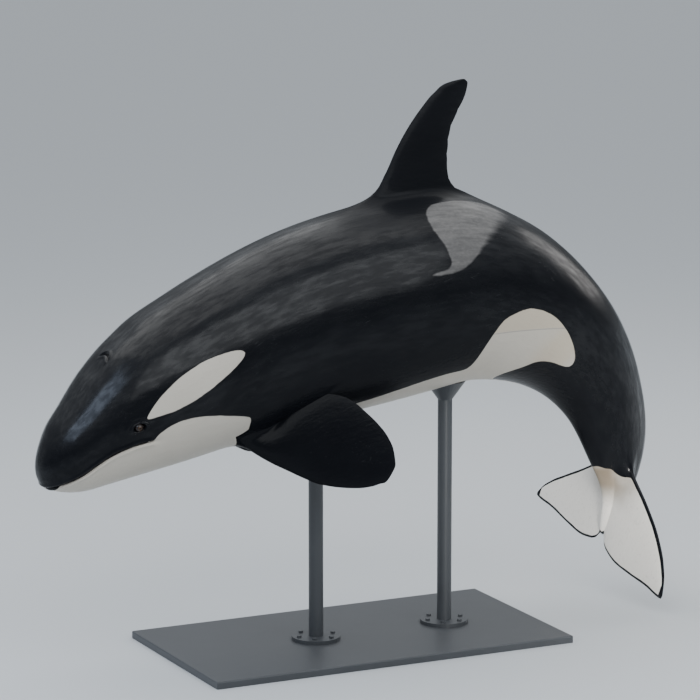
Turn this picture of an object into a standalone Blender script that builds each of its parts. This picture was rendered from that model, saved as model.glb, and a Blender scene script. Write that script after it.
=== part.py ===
"""Life-size orca in mid-leap, held over a flat base by two rods. Metres, +Z up, head towards -X.

The animal is drawn straight first, in (s, side, up): s runs back from the snout along the neutral
line, side is positive to the animal's left and up towards its back. bend() then lays every point
along the curved spine. Sizes given as shares are shares of LENGTH.
"""

import math

import bmesh
import bpy
import numpy as np
from mathutils import Matrix, Vector

LENGTH = 5.5  # snout to the notch between the flukes
GAP = 0.0003  # between pieces that touch
CUT = 0.0004  # between the lengths of the body
SIDES = 36  # points round a body section

# The body, at these shares of its length
STATION = (0.0, 0.02, 0.05, 0.10, 0.16, 0.22, 0.30, 0.40, 0.50, 0.60, 0.70, 0.80, 0.88, 0.94, 0.98)
BACK = (-0.004, 0.003, 0.019, 0.048, 0.072, 0.080, 0.087, 0.097, 0.102, 0.088, 0.067, 0.049, 0.039, 0.021, 0.007)
BELLY = (-0.060, -0.063, -0.068, -0.077, -0.089, -0.100, -0.112, -0.122, -0.117, -0.100, -0.077, -0.057, -0.041,
         -0.018, -0.007)
HALF_WIDTH = (0.036, 0.043, 0.054, 0.073, 0.083, 0.090, 0.095, 0.097, 0.091, 0.077, 0.056, 0.034, 0.019, 0.011, 0.006)
SQUARENESS_AT = (0.0, 0.10, 0.30, 0.50, 0.70, 0.94)
SQUARENESS_ABOVE = (2.35, 2.30, 2.10, 2.00, 1.85, 1.75)
SQUARENESS_BELOW = (2.30, 2.20, 2.10, 2.00, 1.85, 1.75)
SNOUT_UP = -0.036  # height of the snout's foremost point
SNOUT_LENGTH = 0.045  # over which the snout rounds off

# The spine's lie: pitch of the tailward direction, and its turn to the left, in degrees
PITCH_AT = (0.15, 0.25, 0.38, 0.50, 0.60, 0.70, 0.80, 0.90, 0.96)
PITCH = (22.0, 22.2, 9.2, -0.2, -21.0, -39.5, -62.5, -82.4, -99.9)
TURN_AT = (0.35, 0.60, 0.80, 1.00)
TURN = (0.0, -3.6, -9.5, -24.0)

# Where the body is parted into lengths
NECK_AT = 0.16
CHEST_END = 0.38
MIDRIFF_END = 0.58
LOIN_END = 0.75
TAIL_END = 0.975

# The mouth: its line along the side, and how the lower jaw ends at the throat
MOUTH_S = (-0.01, 0.0, 0.018, 0.036, 0.055, 0.078, 0.098, 0.112)
MOUTH_UP = (-0.046, -0.0445, -0.0413, -0.0366, -0.0305, -0.0260, -0.0263, -0.0293)
THROAT = ((0.118, -0.040), (0.126, -0.060), (0.131, -0.090), (0.131, -0.130))
LIP_RADIUS = 0.011

EYE_S = 0.104
EYE_UP = -0.0085
EYE_RADIUS = 0.026
LID_LENGTH = 0.040  # half the opening's length
LID_HEIGHT = 0.021
LID_RADIUS = 0.008

BLOWHOLE_S = 0.1165
BLOWHOLE_SIDE = 0.004
BLOWHOLE_WIDTH = 0.12
BLOWHOLE_SLIT = 0.012
BLOWHOLE_DEPTH = 0.03

# The back fin: its edges at heights above the neutral line
FIN_UP = (0.070, 0.086, 0.100, 0.112, 0.129, 0.156, 0.179, 0.200, 0.2157, 0.2275, 0.2313)
FIN_FRONT = (0.380, 0.398, 0.427, 0.4474, 0.4597, 0.4731, 0.4852, 0.4974, 0.5072, 0.5186, 0.5275)
FIN_REAR_UP = (0.070, 0.095, 0.103, 0.1068, 0.1141, 0.126, 0.150, 0.1756, 0.1928, 0.2137, 0.2274, 0.2313)
FIN_REAR = (0.570, 0.560, 0.5482, 0.5345, 0.5259, 0.5215, 0.5201, 0.5213, 0.5253, 0.5305, 0.5315, 0.5290)
FIN_HALF_THICK = (0.020, 0.0165, 0.0125, 0.0105, 0.0092, 0.0078, 0.0064, 0.0050, 0.0036, 0.0022, 0.0012)

# The flukes: their edges at distances from the midline
FLUKE_SIDE = (0.0, 0.0134, 0.0355, 0.0583, 0.0900, 0.1093, 0.1200, 0.1240)
FLUKE_FRONT = (0.872, 0.888, 0.9085, 0.9275, 0.9540, 0.9735, 0.9900, 1.0010)
FLUKE_REAR_SIDE = (0.0, 0.004, 0.0106, 0.021, 0.040, 0.065, 0.0955, 0.115, 0.1240)
FLUKE_REAR = (0.9895, 0.9935, 1.0000, 1.0045, 1.0080, 1.0070, 1.0050, 1.0060, 1.0050)
FLUKE_THICK_AT = (0.0, 0.03, 0.06, 0.10, 0.1240)
FLUKE_HALF_THICK = (0.0115, 0.0090, 0.0062, 0.0036, 0.0015)

# The flippers: metres along their own axis and across it, from a root low on the side
FLIPPER_ROOT = (0.232, 0.055, -0.080)
FLIPPER_AXIS = (0.73, -0.54, 0.43)  # tailward, up, outward
FLIPPER_CHORD = (0.62, 0.78, -0.07)
FLIPPER_AT = (-0.10, 0.0, 0.11, 0.228, 0.337, 0.43, 0.515, 0.62, 0.704, 0.778, 0.830, 0.850)
FLIPPER_LOW = (-0.105, -0.146, -0.182, -0.209, -0.233, -0.247, -0.244, -0.229, -0.207, -0.169, -0.120, -0.050)
FLIPPER_HIGH_AT = (-0.10, 0.0, 0.07, 0.117, 0.144, 0.211, 0.28, 0.362, 0.438, 0.526, 0.606, 0.694, 0.772, 0.82, 0.85)
FLIPPER_HIGH = (-0.02, 0.0, 0.02, 0.060, 0.102, 0.187, 0.250, 0.288, 0.295, 0.276, 0.234, 0.180, 0.113, 0.045, -0.035)
FLIPPER_HALF_THICK = (0.050, 0.048, 0.044, 0.040, 0.036, 0.033, 0.030, 0.026, 0.022, 0.018, 0.013, 0.009)

# The stand
HANG = 1.40  # the floor lies this far below the snout, just under the hanging fluke
CENTRE = (2.13, 0.02)  # of the base, under the body's centre of mass
BASE_SIZE = (2.40, 1.30, 0.045)
BASE_BEVEL = 0.008
ROD_RADIUS = 0.045
ROD_AT = (0.335, 0.545)
CRADLE_RADIUS = 0.13
CRADLE_HEIGHT = 0.10
FLANGE_RADIUS = 0.15
FLANGE_HEIGHT = 0.022
BOLTS = 6

BLACK = (0.012, 0.014, 0.018, 1.0)
WHITE = (0.72, 0.70, 0.66, 1.0)
EYE_COLOUR = (0.02, 0.014, 0.010, 1.0)
STAND_COLOUR = (0.055, 0.060, 0.068, 1.0)


def smooth(xs, ys):
    """A curve through the knots that doesn't overshoot them."""
    xs = np.array(xs, float)
    ys = np.array(ys, float)
    step = np.diff(xs)
    rise = np.diff(ys) / step
    slope = np.zeros(len(xs))
    slope[1:-1] = (rise[:-1] * step[1:] + rise[1:] * step[:-1]) / (step[:-1] + step[1:])
    slope[0] = 2 * rise[0] - slope[1]
    slope[-1] = 2 * rise[-1] - slope[-2]
    for i in range(1, len(xs) - 1):
        if rise[i - 1] * rise[i] <= 0:
            slope[i] = 0.0
        else:
            most = 3 * min(abs(rise[i - 1]), abs(rise[i]))
            slope[i] = min(max(slope[i], -most), most)

    def value(x):
        x = np.clip(np.asarray(x, float), xs[0], xs[-1])
        i = np.clip(np.searchsorted(xs, x, side="right") - 1, 0, len(xs) - 2)
        t = (x - xs[i]) / step[i]
        return (
            (2 * t**3 - 3 * t**2 + 1) * ys[i]
            + (t**3 - 2 * t**2 + t) * step[i] * slope[i]
            + (3 * t**2 - 2 * t**3) * ys[i + 1]
            + (t**3 - t**2) * step[i] * slope[i + 1]
        )

    return value


back_line = smooth(STATION, BACK)
belly_line = smooth(STATION, BELLY)
width_line = smooth(STATION, HALF_WIDTH)
square_above = smooth(SQUARENESS_AT, SQUARENESS_ABOVE)
square_below = smooth(SQUARENESS_AT, SQUARENESS_BELOW)


def spine(steps=240):
    """Points along the neutral line with their tailward, up and left directions."""
    share = np.linspace(0, 1.06, steps + 1)
    pitch = smooth(PITCH_AT, np.radians(PITCH))(share)
    turn = smooth(TURN_AT, np.radians(TURN))(share)
    tail = np.array([math.cos(pitch[0]), 0.0, math.sin(pitch[0])])
    up = np.array([-math.sin(pitch[0]), 0.0, math.cos(pitch[0])])
    left = np.array([0.0, -1.0, 0.0])
    place = np.array([-CENTRE[0], -CENTRE[1], HANG])
    rows = [(place, tail, up, left)]
    for i in range(steps):
        before = tail
        angle = pitch[i + 1] - pitch[i]
        tail, up = (
            tail * math.cos(angle) + up * math.sin(angle),
            up * math.cos(angle) - tail * math.sin(angle),
        )
        angle = turn[i + 1] - turn[i]
        tail, left = (
            tail * math.cos(angle) + left * math.sin(angle),
            left * math.cos(angle) - tail * math.sin(angle),
        )
        middle = before + tail
        place = place + middle / np.linalg.norm(middle) * (share[1] - share[0]) * LENGTH
        rows.append((place, tail, up, left))
    return share * LENGTH, [np.array(column) for column in zip(*rows)]


SPINE_S, (SPINE_PLACE, SPINE_TAIL, SPINE_UP, SPINE_LEFT) = spine()


def along(rows, s):
    """One of the spine's vectors at a distance s."""
    return np.array([np.interp(s, SPINE_S, rows[:, axis]) for axis in range(3)])


def bend(point):
    """A point of the straight animal, in metres, laid along the spine."""
    s, side, up = point
    return along(SPINE_PLACE, s) + along(SPINE_LEFT, s) * side + along(SPINE_UP, s) * up + min(s, 0.0) * SPINE_TAIL[0]


def section(share, grow=0.0):
    """Height of the back and belly and half the width at a share of the length, in metres."""
    rounding = math.sqrt(max(0.0, 1 - (1 - min(share / SNOUT_LENGTH, 1.0)) ** 2))
    top = (SNOUT_UP + (float(back_line(share)) - SNOUT_UP) * rounding) * LENGTH + grow
    low = (SNOUT_UP + (float(belly_line(share)) - SNOUT_UP) * rounding) * LENGTH - grow
    return top, low, float(width_line(share)) * rounding * LENGTH + grow


def body_ring(share, grow=0.0):
    """Points round the straight body."""
    top, low, half = section(share, grow)
    middle = (top + low) / 2
    ring = []
    for i in range(SIDES):
        angle = 2 * math.pi * i / SIDES
        across, rise = math.cos(angle), math.sin(angle)
        power = 2 / float(square_above(share) if rise > 0 else square_below(share))
        height = top - middle if rise > 0 else middle - low
        ring.append(
            (
                share * LENGTH,
                half * math.copysign(abs(across) ** power, across),
                middle + height * math.copysign(abs(rise) ** power, rise),
            )
        )
    return ring


def flank(share, up, grow=0.0):
    """How far out the side of the body is at a height, or 0 outside it."""
    top, low, half = section(share, grow)
    middle = (top + low) / 2
    rise = (up - middle) / ((top - middle) if up > middle else (middle - low) or 1.0)
    if abs(rise) >= 1:
        return 0.0
    power = float(square_above(share) if rise > 0 else square_below(share))
    return half * (1 - abs(rise) ** power) ** (1 / power)


def shares(first, last, step):
    """Even stations between two shares, ends included."""
    count = max(1, round((last - first) / step))
    return [first + (last - first) * i / count for i in range(count + 1)]


def colour(name, value, rough, metallic=0.0):
    """A Principled material."""
    made = bpy.data.materials.new(name)
    made.use_nodes = True
    shader = made.node_tree.nodes["Principled BSDF"]
    shader.inputs["Base Color"].default_value = value
    shader.inputs["Roughness"].default_value = rough
    shader.inputs["Metallic"].default_value = metallic
    return made


def add_object(name, bm, finish=None):
    """Put a bmesh in the scene as an object."""
    bmesh.ops.recalc_face_normals(bm, faces=bm.faces)
    mesh = bpy.data.meshes.new(name)
    bm.to_mesh(mesh)
    bm.free()
    if finish:
        mesh.materials.append(finish)
    made = bpy.data.objects.new(name, mesh)
    bpy.context.scene.collection.objects.link(made)
    return made


def loft(name, rings, finish=None, first_tip=None, last_tip=None):
    """Extrude a closed outline through a row of rings, with flat or pointed ends."""
    bm = bmesh.new()
    verts = bmesh.ops.create_circle(bm, cap_ends=True, segments=len(rings[0]), radius=1.0)["verts"]
    for vert, place in zip(verts, rings[0]):
        vert.co = place
    bm.faces.ensure_lookup_table()
    start = end = bm.faces[0]
    for places in rings[1:]:
        made = bmesh.ops.extrude_face_region(bm, geom=[end])["geom"]
        fresh = {item for item in made if isinstance(item, bmesh.types.BMVert)}
        ahead = [next(e.other_vert(v) for e in v.link_edges if e.other_vert(v) in fresh) for v in verts]
        for vert, place in zip(ahead, places):
            vert.co = place
        if end is not start:
            bm.faces.remove(end)
        verts = ahead
        end = next(item for item in made if isinstance(item, bmesh.types.BMFace))
    for face, tip in ((start, first_tip), (end, last_tip)):
        if tip is not None:
            bmesh.ops.poke(bm, faces=[face])["verts"][0].co = tip
    bmesh.ops.triangulate(bm, faces=bm.faces, quad_method="FIXED")
    return add_object(name, bm, finish)


def blade(low, high, thick, count=20):
    """A fin's section as (along the chord, across it): round at the front edge, thin behind."""
    points = []
    for i in range(count):
        angle = 2 * math.pi * i / count
        share = (1 - math.cos(angle)) / 2
        bulge = 1.65 * math.sqrt(share) * (1 - share) ** 0.8 + 0.06 * math.sin(math.pi * share)
        points.append((low + (high - low) * share, math.copysign(thick * bulge, math.sin(angle))))
    return points


def evaluate(body):
    """Apply an object's modifiers and keep its largest closed surface."""
    graph = bpy.context.evaluated_depsgraph_get()
    mesh = bpy.data.meshes.new_from_object(body.evaluated_get(graph))
    body.modifiers.clear()
    bm = bmesh.new()
    bm.from_mesh(mesh)
    bmesh.ops.dissolve_degenerate(bm, dist=0.000005, edges=bm.edges)
    left = set(bm.faces)
    groups = []
    while left:
        stack = [left.pop()]
        group = list(stack)
        while stack:
            for edge in stack.pop().edges:
                for face in edge.link_faces:
                    if face in left:
                        left.discard(face)
                        stack.append(face)
                        group.append(face)
        groups.append(group)
    groups.sort(key=lambda group: sum(face.calc_area() for face in group), reverse=True)
    for group in groups[1:]:
        bmesh.ops.delete(bm, geom=group, context="FACES")
    bm.to_mesh(mesh)
    bm.free()
    body.data = mesh


def combine(body, others, operation, solver="EXACT"):
    """One Boolean of a body and a collection of closed meshes, which are then removed."""
    group = bpy.data.collections.new("tools")
    for other in others:
        group.objects.link(other)
    step = body.modifiers.new("Combine", "BOOLEAN")
    step.operation = operation
    step.operand_type = "COLLECTION"
    step.collection = group
    step.solver = solver
    evaluate(body)
    for other in others:
        bpy.data.objects.remove(other)
    bpy.data.collections.remove(group)


def lay_along_spine(body):
    """Bend a straight object's points. Side counts to the left, so its faces turn over."""
    for vert in body.data.vertices:
        vert.co = bend(vert.co)
    body.data.flip_normals()


def tube(name, path, radii, sides=8, closed=False):
    """A round bead along a path of points in the straight animal."""
    path = [Vector(point) for point in path]
    rings = []
    for i, place in enumerate(path):
        before = path[i - 1] if i or closed else place
        after = path[(i + 1) % len(path)] if i + 1 < len(path) or closed else place
        heading = (after - before).normalized()
        inward = Vector((place.x, 0, SNOUT_UP * LENGTH)) - place
        inward = (inward - heading * inward.dot(heading)).normalized()
        cross = heading.cross(inward)
        rings.append(
            [
                place
                + inward * radii[i] * math.cos(2 * math.pi * k / sides)
                + cross * radii[i] * math.sin(2 * math.pi * k / sides)
                for k in range(sides)
            ]
        )
    if not closed:
        return loft(name, rings)
    bm = bmesh.new()
    loops = []
    for ring in rings:
        verts = bmesh.ops.create_circle(bm, segments=sides, radius=1.0)["verts"]
        for vert, place in zip(verts, ring):
            vert.co = place
        loops.append([edge for edge in bm.edges if edge.verts[0] in verts and edge.verts[1] in verts])
    for i, loop in enumerate(loops):
        bmesh.ops.bridge_loops(bm, edges=loop + loops[(i + 1) % len(loops)])
    return add_object(name, bm)


def prism(name, outline, reach):
    """A side outline, in (s, up), extruded from side to side."""
    bm = bmesh.new()
    verts = bmesh.ops.create_circle(bm, cap_ends=True, segments=len(outline), radius=1.0)["verts"]
    for vert, (s, up) in zip(verts, outline):
        vert.co = (s, -reach, up)
    made = bmesh.ops.extrude_face_region(bm, geom=list(bm.faces))["geom"]
    bmesh.ops.translate(bm, verts=[v for v in made if isinstance(v, bmesh.types.BMVert)], vec=(0, 2 * reach, 0))
    return add_object(name, bm)


def pushed(outline, distance):
    """A closed outline, drawn anticlockwise or clockwise, moved outwards."""
    area = sum(a[0] * b[1] - b[0] * a[1] for a, b in zip(outline, outline[1:] + outline[:1]))
    turn = math.copysign(1.0, area)
    moved = []
    for before, here, after in zip(outline[-1:] + outline[:-1], outline, outline[1:] + outline[:1]):
        first = (Vector(here) - Vector(before)).normalized()
        second = (Vector(after) - Vector(here)).normalized()
        normals = [Vector((edge.y, -edge.x)) * turn for edge in (first, second)]
        middle = (normals[0] + normals[1]).normalized()
        moved.append(tuple(Vector(here) + middle * distance / max(0.3, middle.dot(normals[0]))))
    return moved


for old in list(bpy.data.objects):
    bpy.data.objects.remove(old)
black = colour("black skin", BLACK, 0.25)
white = colour("white skin", WHITE, 0.30)
dark_eye = colour("eye", EYE_COLOUR, 0.05)
painted = colour("painted steel", STAND_COLOUR, 0.45, 0.6)

snout_shares = [0.0011, 0.0042, 0.0095, 0.017, 0.026, 0.037, 0.050, 0.066, 0.084, 0.103, 0.122, 0.141]
half_cut = CUT / LENGTH / 2
lengths = {
    "chest": shares(NECK_AT + half_cut, CHEST_END - half_cut, 0.0185),
    "midriff": shares(CHEST_END + half_cut, MIDRIFF_END - half_cut, 0.0185),
    "loin": shares(MIDRIFF_END + half_cut, LOIN_END - half_cut, 0.0175),
    "tail_stock": shares(LOIN_END + half_cut, TAIL_END, 0.0165),
}
head_shares = snout_shares + [NECK_AT - half_cut]
snout_tip = (0.0, 0.0, SNOUT_UP * LENGTH)


def body_cutter(first, last):
    """The bent body a touch fuller, to trim what grows from it."""
    stations = [s for part in (head_shares, *lengths.values()) for s in part if first <= s <= last]
    if stations[-1] == TAIL_END:
        stations.append(TAIL_END + GAP / LENGTH)
    made = loft("cutter", [body_ring(s, GAP) for s in stations])
    lay_along_spine(made)
    return made


# Head and lower jaw: one form, parted along the line of the mouth
mouth = smooth(MOUTH_S, MOUTH_UP)
jaw_outline = [(s * LENGTH, float(mouth(s)) * LENGTH) for s in shares(-0.01, 0.112, 0.0075)]
jaw_outline += [(s * LENGTH, up * LENGTH) for s, up in THROAT]
jaw_outline += [(-0.01 * LENGTH, -0.13 * LENGTH)]


def lip_path(lift):
    """The mouth's line round the snout, from corner to corner, raised or lowered a little."""
    first = 0.0
    while flank(first, float(mouth(first)) * LENGTH + lift) <= 0.02:
        first += 0.0001
    stations = [first + (0.110 - first) * (i / 16) ** 1.5 for i in range(17)]
    side = [
        (s * LENGTH, flank(s, float(mouth(s)) * LENGTH + lift) - 0.003, float(mouth(s)) * LENGTH + lift)
        for s in stations
    ]
    front = (side[0][0] - 0.006, 0.0, side[0][2])
    return [(s, -y, up) for s, y, up in reversed(side)] + [front] + side


def lip(name, lift):
    path = lip_path(lift)
    radii = [LIP_RADIUS * min(1.0, 0.35 + 0.12 * min(i, len(path) - 1 - i)) for i in range(len(path))]
    return tube(name, path, radii)


def lid_path(side):
    """The eye's opening: an almond on the side of the head."""
    path = []
    for i in range(20):
        angle = 2 * math.pi * i / 20
        s = EYE_S * LENGTH + LID_LENGTH * math.cos(angle)
        up = EYE_UP * LENGTH + LID_HEIGHT * math.sin(angle) * (1.1 if math.sin(angle) > 0 else 0.85)
        path.append((s, side * (flank(s / LENGTH, up) + 0.001), up))
    return path


eye_side = flank(EYE_S, EYE_UP * LENGTH) - 0.013


def ball(name, side, radius, finish=None):
    bm = bmesh.new()
    place = Matrix.Translation((EYE_S * LENGTH, side * eye_side, EYE_UP * LENGTH))
    bmesh.ops.create_uvsphere(bm, u_segments=16, v_segments=10, radius=radius, matrix=place)
    return add_object(name, bm, finish)


def crescent():
    """The blowhole's slit, its hollow side forward, as a cutter."""
    s = BLOWHOLE_S * LENGTH
    top = section(BLOWHOLE_S)[0]
    bow = 0.028
    outer = []
    inner = []
    for i in range(13):
        across = (i / 12 * 2 - 1) * BLOWHOLE_WIDTH / 2
        rear = s + bow * (1 - (2 * across / BLOWHOLE_WIDTH) ** 2)
        half = BLOWHOLE_SLIT / 2 * math.sqrt(max(0.02, 1 - (2 * across / BLOWHOLE_WIDTH) ** 2))
        outer.append((rear + half, across + BLOWHOLE_SIDE * LENGTH))
        inner.append((rear - half, across + BLOWHOLE_SIDE * LENGTH))
    outline = outer + inner[::-1]
    return loft(
        "slit",
        [[(x, y, up) for x, y in outline] for up in (top - BLOWHOLE_DEPTH - 0.01, top + 0.05)],
    )


head = loft("head", [body_ring(s) for s in head_shares], black, first_tip=snout_tip)
lids = [tube("lid", lid_path(side), [LID_RADIUS] * 20, sides=6, closed=True) for side in (1, -1)]
combine(head, [*lids, lip("upper lip", LIP_RADIUS * 0.85)], "UNION")
combine(
    head,
    [prism("jaw space", pushed(jaw_outline, GAP), 0.7), crescent()]
    + [ball("socket", side, EYE_RADIUS + GAP) for side in (1, -1)],
    "DIFFERENCE",
)
lay_along_spine(head)

jaw = loft("lower_jaw", [body_ring(s) for s in head_shares], white, first_tip=snout_tip)
combine(jaw, [lip("lower lip", -LIP_RADIUS * 0.85)], "UNION")
combine(jaw, [prism("jaw", jaw_outline, 0.7)], "INTERSECT")
lay_along_spine(jaw)

for name, side in (("eye_left", 1), ("eye_right", -1)):
    lay_along_spine(ball(name, side, EYE_RADIUS, dark_eye))

# The body's lengths
for name, stations in lengths.items():
    lay_along_spine(loft(name, [body_ring(s) for s in stations], black))

# The back fin: level sections, flared where it meets the back
fin_front = smooth(FIN_UP, FIN_FRONT)
fin_rear = smooth(FIN_REAR_UP, FIN_REAR)
fin_thick = smooth(FIN_UP, FIN_HALF_THICK)
fin_rings = []
for i in range(17):
    up = FIN_UP[0] + (0.2308 - FIN_UP[0]) * math.sin(math.pi / 2 * i / 16) ** 1.15
    outline = blade(float(fin_front(up)), float(fin_rear(up)), float(fin_thick(up)))
    fin_rings.append([(s * LENGTH, y * LENGTH, up * LENGTH) for s, y in outline])
fin_tip = (0.5285 * LENGTH, 0, FIN_UP[-1] * LENGTH)
dorsal = loft("dorsal_fin", fin_rings, black, last_tip=fin_tip)
lay_along_spine(dorsal)
combine(dorsal, [body_cutter(0.37, 0.60)], "DIFFERENCE")

# The flippers: flat paddles, swept back and held off the side
flipper_low = smooth(FLIPPER_AT, FLIPPER_LOW)
flipper_high = smooth(FLIPPER_HIGH_AT, FLIPPER_HIGH)
flipper_thick = smooth(FLIPPER_AT, FLIPPER_HALF_THICK)
root_s = FLIPPER_ROOT[0] * LENGTH
for name, side in (("pectoral_fin_left", 1), ("pectoral_fin_right", -1)):
    basis = (along(SPINE_TAIL, root_s), along(SPINE_UP, root_s), along(SPINE_LEFT, root_s) * side)
    axis = sum(part * direction for part, direction in zip(FLIPPER_AXIS, basis))
    chord = sum(part * direction for part, direction in zip(FLIPPER_CHORD, basis))
    axis = axis / np.linalg.norm(axis)
    chord = chord - axis * chord.dot(axis)
    chord = chord / np.linalg.norm(chord)
    normal = np.cross(axis, chord)
    root = bend((root_s, side * FLIPPER_ROOT[1] * LENGTH, FLIPPER_ROOT[2] * LENGTH))
    rings = []
    for i in range(17):
        run = -0.08 + 0.927 * math.sin(math.pi / 2 * i / 16) ** 1.1
        outline = blade(float(flipper_low(run)), float(flipper_high(run)), float(flipper_thick(run)))
        rings.append([root + axis * run + chord * c + normal * t for c, t in outline])
    tip = root + axis * 0.850 + chord * -0.042
    flipper = loft(name, rings, black, last_tip=tip)
    combine(flipper, [body_cutter(0.12, 0.37)], "DIFFERENCE")

# The flukes, either side of the tail's end
fluke_front = smooth(FLUKE_SIDE, FLUKE_FRONT)
fluke_rear = smooth(FLUKE_REAR_SIDE, FLUKE_REAR)
fluke_thick = smooth(FLUKE_THICK_AT, FLUKE_HALF_THICK)
for name, side in (("fluke_left", 1), ("fluke_right", -1)):
    rings = []
    for i in range(17):
        out = GAP / 2 / LENGTH + (0.1232 - GAP / 2 / LENGTH) * math.sin(math.pi / 2 * i / 16) ** 1.15
        outline = blade(float(fluke_front(out)), float(fluke_rear(out)), float(fluke_thick(out)))
        rings.append([(s * LENGTH, side * out * LENGTH, up * LENGTH) for s, up in outline])
    fluke = loft(name, rings, white, last_tip=(1.0035 * LENGTH, side * 0.1240 * LENGTH, 0))
    lay_along_spine(fluke)
    combine(fluke, [body_cutter(0.85, 1.0)], "DIFFERENCE")

# The stand: a bevelled plate and two rods, each with a bolted flange and a cradle cut to the belly
bm = bmesh.new()
bmesh.ops.create_cube(bm, size=1.0)
bmesh.ops.scale(bm, vec=BASE_SIZE, verts=bm.verts)
bmesh.ops.translate(bm, vec=(0, 0, BASE_SIZE[2] / 2), verts=bm.verts)
rim = [edge for edge in bm.edges if max(v.co.z for v in edge.verts) > 0.01]
bmesh.ops.bevel(bm, geom=rim, offset=BASE_BEVEL, segments=2, profile=0.5, affect="EDGES")
add_object("stand_base", bm, painted)


def cylinder(name, radius, low, high, place, sides=32, top_radius=None):
    bm = bmesh.new()
    bmesh.ops.create_cone(
        bm,
        cap_ends=True,
        segments=sides,
        radius1=radius,
        radius2=top_radius or radius,
        depth=high - low,
        matrix=Matrix.Translation((place[0], place[1], (low + high) / 2)),
    )
    return add_object(name, bm)


for name, share in zip(("stand_rod_front", "stand_rod_rear"), ROD_AT):
    foot = bend((share * LENGTH, 0.0, section(share)[1]))
    low = BASE_SIZE[2] + GAP
    rod = cylinder(name, ROD_RADIUS, low, foot[2] + 0.05, foot)
    rod.data.materials.append(painted)
    pieces = [cylinder("flange", FLANGE_RADIUS, low, low + FLANGE_HEIGHT, foot)]
    pieces.append(
        cylinder("cradle", ROD_RADIUS * 0.99, foot[2] - CRADLE_HEIGHT, foot[2] + 0.02, foot, top_radius=CRADLE_RADIUS)
    )
    for i in range(BOLTS):
        angle = 2 * math.pi * i / BOLTS
        reach = FLANGE_RADIUS * 0.76
        place = (foot[0] + reach * math.cos(angle), foot[1] + reach * math.sin(angle))
        pieces.append(cylinder("bolt", 0.014, low + 0.005, low + FLANGE_HEIGHT + 0.012, place, sides=6))
    combine(rod, pieces, "UNION")
    combine(rod, [body_cutter(share - 0.08, share + 0.08)], "DIFFERENCE")

for made in bpy.data.objects:
    made.data.shade_smooth()
    made.data.set_sharp_from_angle(angle=math.radians(35))
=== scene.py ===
import math

import bmesh
import bpy
import numpy as np
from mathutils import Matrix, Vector


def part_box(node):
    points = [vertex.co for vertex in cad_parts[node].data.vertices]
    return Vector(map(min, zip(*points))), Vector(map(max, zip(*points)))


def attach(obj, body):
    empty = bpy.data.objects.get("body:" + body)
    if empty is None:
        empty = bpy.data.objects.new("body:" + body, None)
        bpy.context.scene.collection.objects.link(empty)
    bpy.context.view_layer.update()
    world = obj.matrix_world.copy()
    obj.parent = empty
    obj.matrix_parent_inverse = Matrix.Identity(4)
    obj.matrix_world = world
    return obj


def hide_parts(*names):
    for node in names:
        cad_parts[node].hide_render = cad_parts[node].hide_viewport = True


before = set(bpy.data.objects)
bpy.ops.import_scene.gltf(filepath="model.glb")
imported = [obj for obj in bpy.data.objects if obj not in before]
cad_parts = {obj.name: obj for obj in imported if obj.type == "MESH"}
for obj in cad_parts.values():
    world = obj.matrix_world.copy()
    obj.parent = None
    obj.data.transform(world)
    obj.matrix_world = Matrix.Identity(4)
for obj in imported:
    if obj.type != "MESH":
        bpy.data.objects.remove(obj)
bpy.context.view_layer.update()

# ---------------------------------------------------------------------------------------------
# The skin. One unbroken hide of cast, rubbery resin over the whole animal, as the real one has:
# body, head, back fin, flippers and flukes grow out of each other with no seam. It is drawn
# straight first, in metres as (s from snout to tail, side to the left, up), then bent.

LENGTH = 5.5
STATION = (0.0, 0.02, 0.05, 0.10, 0.16, 0.22, 0.30, 0.40, 0.50, 0.60, 0.70, 0.80, 0.88, 0.94, 0.98, 0.9895)
BACK = (-0.004, 0.003, 0.019, 0.048, 0.072, 0.080, 0.087, 0.097, 0.102, 0.088, 0.067, 0.049, 0.039, 0.021, 0.007,
        0.003)
BELLY = (-0.060, -0.063, -0.068, -0.077, -0.089, -0.100, -0.112, -0.122, -0.117, -0.100, -0.077, -0.057, -0.041,
         -0.018, -0.007, -0.003)
HALF_WIDTH = (0.036, 0.043, 0.054, 0.073, 0.083, 0.090, 0.095, 0.097, 0.091, 0.077, 0.056, 0.034, 0.019, 0.011, 0.006,
              0.003)
SQUARENESS_AT = (0.0, 0.10, 0.30, 0.50, 0.70, 0.94)
SQUARENESS_ABOVE = (2.35, 2.30, 2.10, 2.00, 1.85, 1.75)
SQUARENESS_BELOW = (2.30, 2.20, 2.10, 2.00, 1.85, 1.75)
SNOUT_UP = -0.036
SNOUT_LENGTH = 0.045
SNOUT_ROWS_END = 0.033  # the rows up to here follow the rounding of the snout
TAIL_TIP = 0.9895

PITCH_AT = (0.15, 0.25, 0.38, 0.50, 0.60, 0.70, 0.80, 0.90, 0.96)
PITCH = (22.0, 22.2, 9.2, -0.2, -21.0, -39.5, -62.5, -82.4, -99.9)
TURN_AT = (0.35, 0.60, 0.80, 1.00)
TURN = (0.0, -3.6, -9.5, -24.0)
SNOUT_PLACE = (-2.13, -0.02, 1.40)

MOUTH_S = (0.0, 0.018, 0.036, 0.055, 0.078, 0.098, 0.112, 0.16, 0.22)
MOUTH_UP = (-0.0445, -0.0413, -0.0366, -0.0305, -0.0260, -0.0263, -0.0293, -0.033, -0.036)
MOUTH_END = 0.1125
EYE_S = 0.104
EYE_UP = -0.0085
EYE_HALF_LENGTH = 0.036
EYE_HALF_HEIGHT = 0.020
BLOWHOLE = (0.1165, 0.004)  # where its slit ends, and its middle's place off the midline
BLOWHOLE_WIDTH = 0.12
BLOWHOLE_BOW = 0.028


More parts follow.
